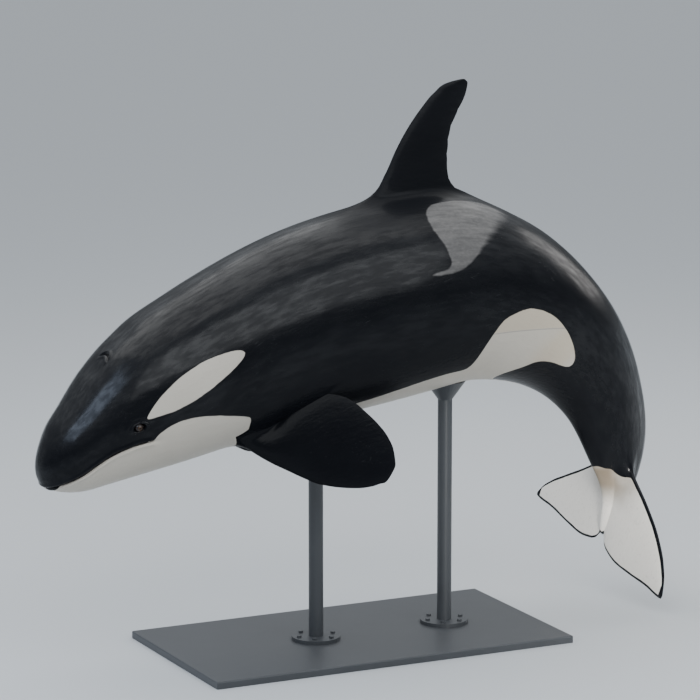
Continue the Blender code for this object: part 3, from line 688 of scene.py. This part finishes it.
skin_mesh.faces.ensure_lookup_table()
bmesh.ops.delete(skin_mesh, geom=[skin_mesh.faces[i] for i in set(opened)], context="FACES")
bmesh.ops.remove_doubles(skin_mesh, verts=skin_mesh.verts, dist=0.00002)
bmesh.ops.dissolve_degenerate(skin_mesh, dist=0.00001, edges=skin_mesh.edges)
bmesh.ops.recalc_face_normals(skin_mesh, faces=skin_mesh.faces)
skin = add_piece("skin", skin_mesh)
skin_data = skin.data
points = np.zeros(len(skin_data.vertices) * 3)
skin_data.vertices.foreach_get("co", points)
skin_data.vertices.foreach_set("co", bend(points.reshape(-1, 3)).ravel())
skin_data.update()
skin_data.flip_normals()
skin_data.shade_smooth()
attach(skin, "root")
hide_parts("head", "lower_jaw", "chest", "midriff", "loin", "tail_stock", "dorsal_fin", "pectoral_fin_left",
            "pectoral_fin_right", "fluke_left", "fluke_right")


class Maths:
    """A socket of a material on which Python's arithmetic adds nodes."""

    def __init__(self, tree, socket=None):
        self.tree = tree
        self.socket = socket

    def node(self, kind, settings=None, sockets=None, output=0):
        made = self.tree.nodes.new("ShaderNode" + kind)
        for name, value in (settings or {}).items():
            if name == "stops":
                ramp = made.color_ramp
                while len(ramp.elements) < len(value):
                    ramp.elements.new(0.5)
                for element, (place, tone) in zip(ramp.elements, value):
                    element.position = place
                    element.color = (*tone, 1.0)
            else:
                setattr(made, name, value)
        for name, value in (sockets or {}).items():
            if isinstance(value, Maths):
                self.tree.links.new(value.socket, made.inputs[name])
            else:
                made.inputs[name].default_value = value
        return Maths(self.tree, made.outputs[output])

    def maths(self, operation, *terms, clamp=False):
        return self.node("Math", {"operation": operation, "use_clamp": clamp}, dict(enumerate(terms)))

    def __add__(self, other):
        return self.maths("ADD", self, other)

    def __sub__(self, other):
        return self.maths("SUBTRACT", self, other)

    def __mul__(self, other):
        return self.maths("MULTIPLY", self, other)

    def __truediv__(self, other):
        return self.maths("DIVIDE", self, other)

    def __radd__(self, other):
        return self.maths("ADD", other, self)

    def __rsub__(self, other):
        return self.maths("SUBTRACT", other, self)

    def __rmul__(self, other):
        return self.maths("MULTIPLY", other, self)

    def __neg__(self):
        return self.maths("MULTIPLY", self, -1.0)

    def __abs__(self):
        return self.maths("ABSOLUTE", self)

    def over(self, low, high):
        """0 below low, 1 above high, smooth between."""
        return self.node(
            "MapRange",
            {"interpolation_type": "SMOOTHSTEP"},
            {"Value": self, "From Min": low, "From Max": high, "To Min": 0.0, "To Max": 1.0},
        )

    def mix(self, first, second):
        """Two colours mixed by this value."""
        return self.node("Mix", {"data_type": "RGBA"}, {0: self, 6: first, 7: second}, 2)

    def parts(self):
        """The three numbers of a vector."""
        split = self.node("SeparateXYZ", None, {0: self}).socket.node
        return [Maths(self.tree, split.outputs[i]) for i in range(3)]

    def stretched(self, vector, scale, detail=3.0, size=1.0, roughness=0.5):
        """Noise over a vector that is scaled unevenly first."""
        spread = self.node("Mapping", {"vector_type": "POINT"}, {"Vector": vector, "Scale": scale})
        sockets = {"Vector": spread, "Scale": size, "Detail": detail, "Roughness": roughness}
        return self.node("TexNoise", None, sockets)


def finish(name, roughness, **sockets):
    """A material with a Principled shader, and the means to write its maths."""
    made = bpy.data.materials.new(name)
    made.use_nodes = True
    shader = made.node_tree.nodes["Principled BSDF"]
    shader.inputs["Roughness"].default_value = roughness
    for socket, value in sockets.items():
        shader.inputs[socket.replace("_", " ")].default_value = value
    return made, shader, Maths(made.node_tree)


wet_skin, shader, m = finish("wet orca skin", 0.3, Coat_Roughness=0.16, Coat_IOR=1.40, IOR=1.14)
lie = m.node("Attribute", {"attribute_name": "straight"}, None, "Vector")
at_s, at_side, at_up = lie.parts()
white_in = m.node("Attribute", {"attribute_name": "white"}, None, "Fac")
saddle_in = m.node("Attribute", {"attribute_name": "saddle"}, None, "Fac")

wobble = m.stretched(lie, (14, 14, 14), 4.0) - 0.5
wide_mottle = m.stretched(lie, (2.2, 3.0, 3.0), 3.0)
fine_mottle = m.stretched(lie, (40, 55, 55), 5.0, 1.0, 0.65)
streaks = m.stretched(lie, (3.0, 26, 26), 4.0, 1.0, 0.6)
is_white = (white_in + wobble * 0.008).over(-0.0022, 0.0022)
to_rear = at_s.over(0.515 * LENGTH, 0.565 * LENGTH)
soft_edge = 0.008 + to_rear * 0.055
is_grey = (saddle_in + wobble * 0.014 + (streaks - 0.5) * (0.012 + to_rear * 0.07)) / soft_edge
is_grey = (is_grey + 0.2).over(-0.6, 0.9)

# Fine scratches, long and thin, which lie mostly along the body
scratch = 0.0
for angle, spread, cut in ((0.25, (5, 150, 150), 0.705), (-0.5, (7, 120, 120), 0.72)):
    turned = m.node("Mapping", {"vector_type": "POINT"}, {"Vector": lie, "Rotation": (0.0, angle, angle * 0.4)})
    lines = m.stretched(turned, spread, 1.0)
    scratch = lines.over(cut, cut + 0.05) + scratch
scratch = scratch * m.stretched(lie, (4, 4, 4), 2.0).over(0.5, 0.62)

# Head details: the gap between the lips and the slit of the blowhole, whose shade is painted into the colour as a
# near-black line; the skin also sinks a little there
fit = np.polyfit(np.linspace(0, 0.112, 40) * LENGTH, mouth_line(np.linspace(0, 0.112, 40)) * LENGTH, 6)
line = at_s * float(fit[0]) + float(fit[1])
for term in fit[2:]:
    line = line * at_s + float(term)
before_corner = at_s.over(MOUTH_END * LENGTH + 0.004, MOUTH_END * LENGTH - 0.010)
lip_gap = abs(at_up - line).over(0.0034, 0.0012) * before_corner
from_slit = at_side - BLOWHOLE[1] * LENGTH
slit_bow = 1.0 - from_slit * from_slit * (4 / BLOWHOLE_WIDTH**2)
slit_gap = abs(at_s - BLOWHOLE[0] * LENGTH - slit_bow * BLOWHOLE_BOW).over(0.0052, 0.0022)
slit_gap = slit_gap * slit_bow.over(0.0, 0.15) * at_up.over(0.15, 0.2)
shaded_gap = m.maths("MAXIMUM", lip_gap, slit_gap)

# Colours: blue-black, the grey of the saddle, and cream, with painted light that makes the cream
# whitest on the flukes, and browner at their root
black = wide_mottle.mix((0.0030, 0.0034, 0.0050, 1.0), (0.0070, 0.0078, 0.0098, 1.0))
black = (scratch * 0.16).mix(black, (0.065, 0.068, 0.072, 1.0))
grey = (streaks * 0.6 + fine_mottle * 0.4).over(0.30, 0.72)
grey = grey.mix((0.078, 0.076, 0.076, 1.0), (0.150, 0.145, 0.142, 1.0))
grey = (scratch * 0.5).mix(grey, (0.05, 0.05, 0.052, 1.0))
on_fluke = at_s.over(0.890 * LENGTH, 0.930 * LENGTH)
cream = wide_mottle.mix((0.48, 0.445, 0.385, 1.0), (0.575, 0.535, 0.470, 1.0))
# Painted light: the flukes' cream is brighter than the body's, standing in for the stronger light on the flukes
cream = on_fluke.mix(cream, (0.84, 0.805, 0.745, 1.0))
cream = (fine_mottle.over(0.52, 0.80) * 0.35).mix(cream, (0.45, 0.415, 0.355, 1.0))
cream = (scratch * 0.35).mix(cream, (0.34, 0.32, 0.29, 1.0))
# Browner near the root of the flukes, close to the midline, in patches
root_browning = at_s.over(0.880 * LENGTH, 0.897 * LENGTH) * at_s.over(0.955 * LENGTH, 0.915 * LENGTH)
root_browning = root_browning * abs(at_side).over(0.30, 0.05) * wide_mottle.over(0.25, 0.65)
cream = (root_browning * 0.90).mix(cream, (0.24, 0.185, 0.125, 1.0))

# A faint fold crosses the white patch of the flank, with a tan part above it. The fold is not in the surface: its
# shade is painted as a darker line along it
FOLD_START, FOLD_DROP = 3.0, 0.2325
FOLD_SLOPE, FOLD_BEND = 0.15, 0.265
along_patch = at_s - FOLD_START
over_fold = at_up + FOLD_DROP - along_patch * (along_patch * FOLD_BEND + FOLD_SLOPE)
on_patch = at_s.over(2.90, 3.08) * at_s.over(3.88, 3.75) * at_up.over(-0.36, -0.30)
tan_part = m.maths("MAXIMUM", over_fold.over(-0.002, 0.012), at_s.over(3.42, 3.62) * wide_mottle.over(0.30, 0.60))
cream = (on_patch * tan_part * 0.60).mix(cream, (0.520, 0.445, 0.335, 1.0))
# Painted shade: a darker line along the fold
cream = (on_patch * abs(over_fold).over(0.0055, 0.0015) * 0.55).mix(cream, (0.25, 0.235, 0.22, 1.0))
skin_colour = is_grey.mix(black, grey)
skin_colour = is_white.mix(skin_colour, cream)
# Painted shade: the lip gap and the blowhole's slit are coloured near black
skin_colour = shaded_gap.mix(skin_colour, (0.004, 0.0035, 0.004, 1.0))

# The wet film, in long streaks, thins towards the belly, and is dulled on the back beside the fin
film = (m.stretched(lie, (7, 30, 30), 4.0, 1.0, 0.6) * 0.7 + wide_mottle * 0.3).over(0.38, 0.66)
flecks = m.stretched(lie, (15, 62, 62), 2.0)
wetness = at_up.over(-0.42, 0.12)
by_fin = at_s.over(0.36 * LENGTH, 0.42 * LENGTH) * at_s.over(0.56 * LENGTH, 0.50 * LENGTH)
by_fin = by_fin * at_up.over(0.40, 0.50)
rough = 0.22 - film * 0.07 + fine_mottle * 0.06 + is_white * 0.14 + by_fin * 0.30
coat = 0.06 + wetness * (1.0 - by_fin * 0.85) * (0.18 + film * 0.42) - is_white * 0.05
skin_height = fine_mottle * 0.0010 + flecks * 0.0030 + m.stretched(lie, (6, 14, 14), 3.0) * 0.0045
skin_height = skin_height + scratch * -0.0008 - shaded_gap * 0.006
raised = m.node("Bump", None, {"Height": skin_height, "Strength": 0.55, "Distance": 1.0}, "Normal")
m.tree.links.new(skin_colour.socket, shader.inputs["Base Color"])
m.tree.links.new(rough.socket, shader.inputs["Roughness"])
m.tree.links.new(coat.socket, shader.inputs["Coat Weight"])
m.tree.links.new(raised.socket, shader.inputs["Normal"])
skin_data.materials.clear()
skin_data.materials.append(wet_skin)

# ---------------------------------------------------------------------------------------------
# The eyes: glass balls set behind the lids, with a dark brown iris, an oval pupil and a clear
# cornea that stands a little proud.

CORNEA_STANDS = 0.07  # shares of the ball's radius
CORNEA_SPREADS = 0.09
BALL_SHARE = 0.985  # of the solid eye's radius

eye_glass, shader, m = finish("eye glass", 0.15, Coat_Weight=0.6, Coat_IOR=1.4, Coat_Roughness=0.03, IOR=1.2)
gaze_at = m.node("Attribute", {"attribute_name": "gaze"}, None, "Vector")
gaze_x, gaze_y, _ = gaze_at.parts()
from_middle = m.maths("SQRT", gaze_x * gaze_x + gaze_y * gaze_y)
spokes = m.stretched(gaze_at, (1, 1, 0.2), 4.0, 22.0)
iris = spokes.mix((0.018, 0.009, 0.005, 1.0), (0.060, 0.030, 0.014, 1.0))
pupil_edge = m.maths("SQRT", gaze_x * gaze_x * 0.45 + gaze_y * gaze_y * 1.6)
eye_colour = pupil_edge.over(0.17, 0.21).mix((0.002, 0.002, 0.003, 1.0), iris)
eye_colour = from_middle.over(0.50, 0.56).mix(eye_colour, (0.010, 0.008, 0.009, 1.0))
eye_colour = from_middle.over(0.58, 0.80).mix(eye_colour, (0.022, 0.016, 0.015, 1.0))
m.tree.links.new(eye_colour.socket, shader.inputs["Base Color"])

for hand, name, node in ((1, "eye_glass_left", "eye_left"), (-1, "eye_glass_right", "eye_right")):
    low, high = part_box(node)
    centre = (Vector(low) + Vector(high)) / 2
    radius = (high[0] - low[0]) / 2
    eye_s = EYE_S * LENGTH
    out = Vector(along(SPINE_LEFT, eye_s) * hand)
    out = (out + Vector(along(SPINE_TAIL, eye_s)) * -0.12).normalized()
    level = Vector(along(SPINE_TAIL, eye_s))
    level = (level - out * level.dot(out)).normalized()
    rise_way = out.cross(level) * hand
    ball = bmesh.new()
    bmesh.ops.create_uvsphere(ball, u_segments=64, v_segments=40, radius=1.0)
    gaze = ball.verts.layers.float_vector.new("gaze")
    for vert in ball.verts:
        x, y, z = vert.co
        vert[gaze] = (x, y, z)
        swell = 1.0 + CORNEA_STANDS * math.exp(-((1 - z) / CORNEA_SPREADS) ** 2)
        vert.co = centre + (level * x + rise_way * y + out * z) * radius * swell * BALL_SHARE
    bmesh.ops.recalc_face_normals(ball, faces=ball.faces)
    eye = add_piece(name, ball)
    eye.data.shade_smooth()
    eye.data.materials.append(eye_glass)
    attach(eye, "root")
    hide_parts(node)

# ---------------------------------------------------------------------------------------------
# The stand: a flat steel base and two tube rods with bolted flanges and cradles, all in a satin
# powder coat, dark grey, with a faint orange peel and a scatter of light specks.

powder, shader, m = finish("satin powder coat", 0.45, Metallic=0.0, Coat_Weight=0.15, Coat_Roughness=0.25)
here = m.node("TexCoord", None, None, "Object")
peel = m.node("TexNoise", None, {"Vector": here, "Scale": 420.0, "Detail": 2.0})
cloud = m.node("TexNoise", None, {"Vector": here, "Scale": 5.0, "Detail": 4.0})
speck = m.node("TexNoise", None, {"Vector": here, "Scale": 160.0, "Detail": 3.0})
tone = cloud.mix((0.040, 0.044, 0.050, 1.0), (0.058, 0.063, 0.070, 1.0))
tone = (speck.over(0.64, 0.72) * 0.30).mix(tone, (0.11, 0.115, 0.12, 1.0))
m.tree.links.new(tone.socket, shader.inputs["Base Color"])
m.tree.links.new((0.40 + cloud * 0.12).socket, shader.inputs["Roughness"])
raised = m.node("Bump", None, {"Height": peel, "Strength": 0.25, "Distance": 0.0006}, "Normal")
m.tree.links.new(raised.socket, shader.inputs["Normal"])
for node in ("stand_base", "stand_rod_front", "stand_rod_rear"):
    for slot in bpy.data.objects[node].material_slots:
        slot.material = powder

# ---------------------------------------------------------------------------------------------
# The studio: a round pale floor, a plain background that is brighter overhead, four large soft
# lamps and a narrow one that lifts the flukes, and the camera at the photograph's viewing angle.

FLOOR_RADIUS = 140.0
FLOOR_COLOUR = (0.52, 0.54, 0.56, 1.0)
# Place, aim, width and height, watts, colour, and spread in degrees
LAMPS = {
    "overhead": ((0.5, 2.5, 9.0), (0.3, 0.0, 1.8), (13.0, 10.0), 520, (1.0, 0.99, 0.96), 180.0),
    "front": ((-0.6, -6.6, 7.6), (-0.3, 0.0, 1.9), (13.0, 6.4), 600, (0.95, 0.98, 1.0), 180.0),
    "head": ((-9.0, 0.8, 7.0), (-1.7, 0.0, 1.6), (5.5, 4.5), 330, (0.62, 0.76, 1.0), 180.0),
    "tail": ((9.5, 2.0, 5.0), (1.5, 0.0, 1.8), (3.5, 4.0), 110, (1.0, 0.98, 0.95), 180.0),
    "flukes": ((0.9, -6.8, 0.60), (2.45, 0.1, 0.75), (2.0, 0.8), 17, (1.0, 0.98, 0.94), 32.0),
}
VIEW_AZIMUTH, VIEW_ELEVATION = -26.0, 11.0
VIEW_AIM = (0.0045, 0.0374, 1.8178)
VIEW_DISTANCE = 23.691
LENS = 200.0

floor_mesh = bmesh.new()
bmesh.ops.create_circle(floor_mesh, cap_ends=True, segments=96, radius=FLOOR_RADIUS)
floor = add_piece("floor", floor_mesh)
floor_paint, shader, m = finish("floor paint", 0.7)
shader.inputs["Base Color"].default_value = FLOOR_COLOUR
floor.data.materials.append(floor_paint)

world = bpy.data.worlds.new("studio")
world.use_nodes = True
sky = Maths(world.node_tree)
_, _, sky_height = sky.node("TexCoord", None, None, "Generated").parts()
dome = sky_height.over(0.12, 0.60).mix((0.42, 0.45, 0.48, 1.0), (1.9, 2.0, 2.1, 1.0))
world.node_tree.links.new(dome.socket, world.node_tree.nodes["Background"].inputs[0])
world.node_tree.nodes["Background"].inputs[1].default_value = 0.45
bpy.context.scene.world = world

for name, (place, aim, size, power, colour, spread) in LAMPS.items():
    light = bpy.data.lights.new(name, "AREA")
    light.shape = "RECTANGLE"
    light.size, light.size_y = size
    light.energy = power
    light.color = colour
    light.spread = math.radians(spread)
    lamp = bpy.data.objects.new(name, light)
    lamp.location = place
    lamp.rotation_euler = (Vector(aim) - Vector(place)).to_track_quat("-Z", "Y").to_euler()
    bpy.context.scene.collection.objects.link(lamp)

azimuth, elevation = math.radians(VIEW_AZIMUTH), math.radians(VIEW_ELEVATION)
level = math.cos(elevation)
back = Vector((math.sin(azimuth) * level, -math.cos(azimuth) * level, math.sin(elevation)))
lens = bpy.data.cameras.new("camera")
lens.lens = LENS
lens.sensor_width = 36.0
lens.clip_end = 400.0
camera = bpy.data.objects.new("camera", lens)
camera.location = Vector(VIEW_AIM) + back * VIEW_DISTANCE
camera.rotation_euler = (-back).to_track_quat("-Z", "Y").to_euler()
bpy.context.scene.collection.objects.link(camera)
bpy.context.scene.camera = camera
